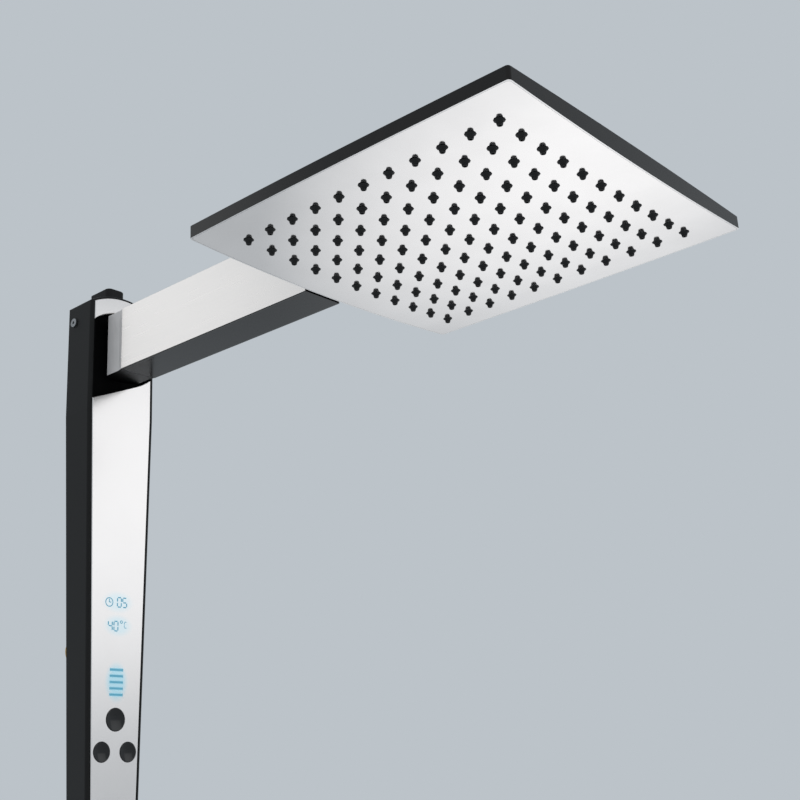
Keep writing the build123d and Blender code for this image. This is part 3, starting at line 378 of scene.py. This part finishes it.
# Glass-filled nylon of the heating chamber: dull sand colour, mottled by the fibres.
materials["tank_plastic"] = grained(
    "Glass-filled nylon", "#8E8672", "#A79F8A", 1.2, 0.03, (0.5, 0.65), IOR=1.53)

# Nickel alloy sheath of the heating element: grey-brown, annealed and a little scaled.
materials["element_sheath"] = grained(
    "Annealed nickel alloy", "#5C554D", "#7A7268", 1.5, 0.02, (0.35, 0.5), Metallic=1.0)

# Glass-epoxy circuit board under green solder mask: glossy green with darker tracks.
materials["board_green"] = grained(
    "Green circuit board", "#0F4A2C", "#1D6B42", 1.6, 0.02, (0.25, 0.35),
    stretch=(1, 1, 0.15), IOR=1.5)

# Epoxy-moulded components and switch housings: matt black.
materials["black_component"] = grained(
    "Moulded black epoxy", "#0D0D0E", "#161617", 0.8, 0.01, (0.55, 0.7), IOR=1.5)

# Signs of the display, blue diodes behind clear acrylic: an even light blue glow.
materials["light_blue"] = lit_acrylic("Lit blue acrylic")

# Bars of the power scale, the same acrylic: the light gathers along each bar's long edges.
materials["level_bars"] = lit_acrylic("Lit level bars")
light_edges(materials["level_bars"], PALE_BLUE)

# Nodes with a finish of their own; every other node takes its slot's
NODE_FINISHES = {
    "arm_beam": "channel_black", "arm_pocket": "recess_black", "arm_knuckle": "arm_root",
    "arm_plate_left": "side_plate", "arm_plate_right": "side_plate", "head_shell": "head_rim",
    "button_power": "key_black", "button_minus": "key_black", "button_plus": "key_black",
    "level_lights": "level_bars",
}

for part in frame["record"]["subparts"]:
    slots = frame["nodes"][part["node"]].data.materials
    slots.clear()
    slots.append(materials[NODE_FINISHES.get(part["node"], part["material_slot"])])


def finish_piece(piece, name, slot, body):
    """Names a finished piece, gives it its slot's material and lets it ride on a body."""
    piece.name = name
    piece.data.name = name
    piece.data.materials.clear()
    piece.data.materials.append(materials[slot])
    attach(piece, body)


def copy_mesh(piece):
    """A copy of a piece with its own mesh."""
    twin = piece.copy()
    twin.data = piece.data.copy()
    bpy.context.scene.collection.objects.link(twin)
    return twin


def join_pieces(pieces):
    """Joins pieces into the first one."""
    bpy.ops.object.select_all(action="DESELECT")
    for piece in pieces:
        piece.select_set(True)
    bpy.context.view_layer.objects.active = pieces[0]
    bpy.ops.object.join()
    bpy.ops.object.select_all(action="DESELECT")
    return pieces[0]


def extrude_selection(x, y, z):
    """Extrudes the selected faces, edges or points by a distance in millimetres."""
    bpy.ops.mesh.extrude_region_move(TRANSFORM_OT_translate={"value": (x * MM, y * MM, z * MM)})


def close_mesh():
    """Turns all faces of the mesh outwards and leaves edit mode."""
    bpy.ops.mesh.select_all(action="SELECT")
    bpy.ops.mesh.normals_make_consistent()
    bpy.ops.object.mode_set(mode="OBJECT")


def lay_on_front(piece, x, z, turn=0.0):
    """Moves a mesh drawn flat at the origin to its place on the front plate."""
    place = Matrix.Translation((x * MM, FASCIA_FRONT * MM, z * MM))
    upright = Matrix.Rotation(math.pi / 2, 4, "X")
    piece.data.transform(place @ upright @ Matrix.Rotation(turn, 4, "Z"))


def make_segment():
    """One lit bar of a digit, pointed at both ends, lying flat along X at the origin."""
    bpy.ops.mesh.primitive_plane_add(size=SEGMENT_WIDE * MM)
    bpy.ops.object.mode_set(mode="EDIT")
    bpy.ops.transform.resize(value=((SEGMENT_LONG - SEGMENT_WIDE) / SEGMENT_WIDE, 1, 1))
    segment = bpy.context.object
    for side in (-1, 1):
        bpy.ops.mesh.select_all(action="DESELECT")
        mesh = bmesh.from_edit_mesh(segment.data)
        for edge in mesh.edges:
            edge.select = all(v.co.x * side > SEGMENT_WIDE * MM / 2 for v in edge.verts)
        bmesh.update_edit_mesh(segment.data)
        extrude_selection(side * SEGMENT_WIDE / 2, 0, 0)
        bpy.ops.mesh.merge(type="CENTER")
    bpy.ops.mesh.select_all(action="SELECT")
    extrude_selection(0, 0, GLYPH_THICK)
    close_mesh()
    return segment


# Seven segments as (x, z, upright), in halves of a digit's step, and the ones each sign lights
SEGMENTS = {
    "top": (0, 2, False), "middle": (0, 0, False), "bottom": (0, -2, False),
    "upper left": (-1, 1, True), "upper right": (1, 1, True),
    "lower left": (-1, -1, True), "lower right": (1, -1, True),
}
SIGNS = {
    "0": ("top", "bottom", "upper left", "upper right", "lower left", "lower right"),
    "4": ("middle", "upper left", "upper right", "lower right"),
    "5": ("top", "middle", "bottom", "upper left", "lower right"),
    "C": ("top", "bottom", "upper left", "lower left"),
}


def make_sign(segment, sign, x, z, size):
    """The lit segments of one sign, centred on a place of the front plate."""
    half_step = SEGMENT_STEP / 2 * size
    bars = []
    for name in SIGNS[sign]:
        across, up, upright = SEGMENTS[name]
        bar = copy_mesh(segment)
        bar.data.transform(Matrix.Scale(size, 4))
        turn = math.pi / 2 if upright else 0
        lay_on_front(bar, x + across * half_step, z + up * half_step, turn)
        bars.append(bar)
    return bars


def make_ring(place, radius, stroke, sides):
    """A lit ring on the front plate."""
    bpy.ops.mesh.primitive_circle_add(vertices=sides, radius=radius * MM, fill_type="NGON")
    ring = bpy.context.object
    bpy.ops.object.mode_set(mode="EDIT")
    bpy.ops.mesh.inset(thickness=stroke * MM)
    bpy.ops.mesh.delete(type="FACE")
    bpy.ops.mesh.select_all(action="SELECT")
    extrude_selection(0, 0, GLYPH_THICK)
    close_mesh()
    lay_on_front(ring, *place)
    return ring


def make_hand(place, length, turn):
    """A hand of the clock, which starts at its middle."""
    bpy.ops.mesh.primitive_cube_add(size=1)
    hand = bpy.context.object
    hand.data.transform(Matrix.Diagonal((length * MM, CLOCK_STROKE * MM, GLYPH_THICK * MM, 1)))
    hand.data.transform(Matrix.Translation((length * MM / 2, 0, GLYPH_THICK * MM / 2)))
    lay_on_front(hand, *place, turn)
    return hand


segment = make_segment()
signs = [bar for sign in SIGN_PLACES for bar in make_sign(segment, *sign)]
bpy.data.objects.remove(segment)
signs.append(make_ring(CLOCK_PLACE, CLOCK_RADIUS, CLOCK_STROKE, CLOCK_SIDES))
signs += [make_hand(CLOCK_PLACE, length, turn) for length, turn in CLOCK_HANDS]
signs.append(make_ring(DEGREE_PLACE, DEGREE_RADIUS, DEGREE_STROKE, DEGREE_SIDES))
finish_piece(join_pieces(signs), "display_signs", "light_blue", "column")


def bow(x):
    """Rise of the spray face above its lowest line, at a distance from that line in metres."""
    return x ** 2 / (2 * BOW_RADIUS * MM)


def make_nozzle():
    """One round silicone nozzle with a bore in its tip, hanging from the origin."""
    root, start = NOZZLE_SECTION[0]
    bpy.ops.mesh.primitive_circle_add(vertices=NOZZLE_SIDES, radius=root * MM, fill_type="NGON")
    nozzle = bpy.context.object
    bpy.ops.object.mode_set(mode="EDIT")
    bpy.ops.mesh.select_all(action="SELECT")
    for (radius, depth), (next_radius, next_depth) in zip(NOZZLE_SECTION, NOZZLE_SECTION[1:]):
        extrude_selection(0, 0, depth - next_depth)
        bpy.ops.transform.resize(value=(next_radius / radius, next_radius / radius, 1))
    close_mesh()
    bpy.ops.object.shade_smooth_by_angle(angle=NOZZLE_SMOOTH)
    nozzle.data.transform(Matrix.Translation((0, 0, -start * MM)))
    return nozzle


def make_sheet():
    """The bowed silicone sheet behind the plate, with its lowest line at the origin."""
    bpy.ops.mesh.primitive_grid_add(x_subdivisions=SHEET_STRIPS, y_subdivisions=1,
                                    size=2 * SHEET_HALF * MM)
    sheet = bpy.context.object
    bpy.ops.object.mode_set(mode="EDIT")
    mesh = bmesh.from_edit_mesh(sheet.data)
    for vert in mesh.verts:
        vert.co.z = bow(vert.co.x)
    bmesh.update_edit_mesh(sheet.data)
    bpy.ops.object.mode_set(mode="OBJECT")
    wall = sheet.modifiers.new("Wall", "SOLIDIFY")
    wall.thickness = SHEET_THICK * MM
    wall.offset = 1
    bpy.ops.object.modifier_apply(modifier=wall.name)
    return sheet


plate_low, plate_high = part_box("face_plate")
head_middle = (plate_low[1] + plate_high[1]) / 2
nozzle = make_nozzle()
sheet = make_sheet()
sheet.data.transform(Matrix.Translation((0, head_middle, plate_low[2] + SHEET_BACK * MM)))
nozzles = [sheet]
for row in range(NOZZLE_ROWS):
    for column in range(NOZZLE_ROWS):
        x = (column - (NOZZLE_ROWS - 1) / 2) * NOZZLE_PITCH * MM
        y = (row - (NOZZLE_ROWS - 1) / 2) * NOZZLE_PITCH * MM
        nozzles.append(copy_mesh(nozzle))
        nozzles[-1].data.transform(Matrix.Translation((x, head_middle + y, plate_low[2] + bow(x))))
bpy.data.objects.remove(nozzle)
spray = join_pieces(nozzles)
finish_piece(spray, "spray_nozzles", "black_silicone", "head")
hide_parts("nozzle_mat")

camera = bpy.data.objects.new("Photo camera", bpy.data.cameras.new("Photo camera"))
bpy.context.scene.collection.objects.link(camera)
camera.data.lens = CAMERA_LENS
camera.data.sensor_width = CAMERA_SENSOR
heading = Matrix.Rotation(-CAMERA_AZIMUTH, 4, "Z")
raised = Matrix.Rotation(math.pi / 2 + CAMERA_PITCH, 4, "X")
rolled = Matrix.Rotation(CAMERA_ROLL, 4, "Z")
camera.matrix_world = Matrix.Translation(CAMERA_PLACE) @ (heading @ raised @ rolled)
bpy.context.scene.camera = camera

# Floor with the backdrop's colour, in matt emulsion paint
bpy.ops.mesh.primitive_plane_add(size=FLOOR_SIZE, location=(0, 0, FLOOR_LEVEL))
floor = bpy.context.object
floor.name = "Floor"
floor.data.materials.append(
    new_material("Pale painted floor", Roughness=0.9, Base_Color=srgb(BACKDROP)))


def make_surround():
    """Plain studio: the backdrop where it is seen or mirrored, and an even pale fill elsewhere."""
    world = bpy.data.worlds.new("Studio")
    bpy.context.scene.world = world
    world.use_nodes = True
    tree = world.node_tree
    tree.nodes.clear()
    path = add_node(tree, "ShaderNodeLightPath")
    seen = path.outputs["Is Camera Ray"]
    for ray in ("Is Glossy Ray", "Is Transmission Ray"):
        seen = add_node(tree, "ShaderNodeMath", {"operation": "MAXIMUM"},
                        {0: seen, 1: path.outputs[ray]}).outputs[0]
    fill = add_node(tree, "ShaderNodeBackground",
                    {"Color": srgb(FILL), "Strength": FILL_STRENGTH})
    backdrop = add_node(tree, "ShaderNodeBackground", {"Color": srgb(BACKDROP), "Strength": 1.0})
    mixed = add_node(tree, "ShaderNodeMixShader", {},
                     {0: seen, 1: fill.outputs[0], 2: backdrop.outputs[0]})
    add_node(tree, "ShaderNodeOutputWorld", {}, {"Surface": mixed.outputs[0]})


def soft_box(name, place, target, size, power):
    """Rectangular lamp that faces a point."""
    lamp = bpy.data.objects.new(name, bpy.data.lights.new(name, "AREA"))
    bpy.context.scene.collection.objects.link(lamp)
    lamp.data.shape = "RECTANGLE"
    lamp.data.size, lamp.data.size_y = size
    lamp.data.energy = power
    lamp.location = place
    facing = Vector(target) - Vector(place)
    lamp.rotation_euler = facing.to_track_quat("-Z", "Y").to_euler()
    lamp.visible_camera = False
    return lamp


def fade_out(lamp, middle, edge):
    """Lets a lamp fade away from its brightest point, to a share of its light at FADE_REACH."""
    lamp.data.use_nodes = True
    tree = lamp.data.node_tree
    place = add_node(tree, "ShaderNodeNewGeometry")
    away = add_node(tree, "ShaderNodeVectorMath", {"operation": "DISTANCE", 1: middle},
                    {0: place.outputs["Position"]})
    part = add_node(tree, "ShaderNodeMath", {"operation": "DIVIDE", 1: FADE_REACH},
                    {0: away.outputs["Value"]})
    squared = add_node(tree, "ShaderNodeMath", {"operation": "POWER", 1: 2.0},
                       {0: part.outputs[0]})
    share = add_node(tree, "ShaderNodeMath", {"operation": "MULTIPLY_ADD", 1: edge - 1, 2: 1.0},
                     {0: squared.outputs[0]})
    share.use_clamp = True
    tree.links.new(share.outputs[0], tree.nodes["Emission"].inputs["Strength"])


make_surround()
for name, place, target, size, power in SOFT_BOXES:
    lamp = soft_box(name, place, target, size, power)
    if name in FADES:
        fade_out(lamp, *FADES[name])

bpy.context.scene.view_settings.view_transform = "Standard"
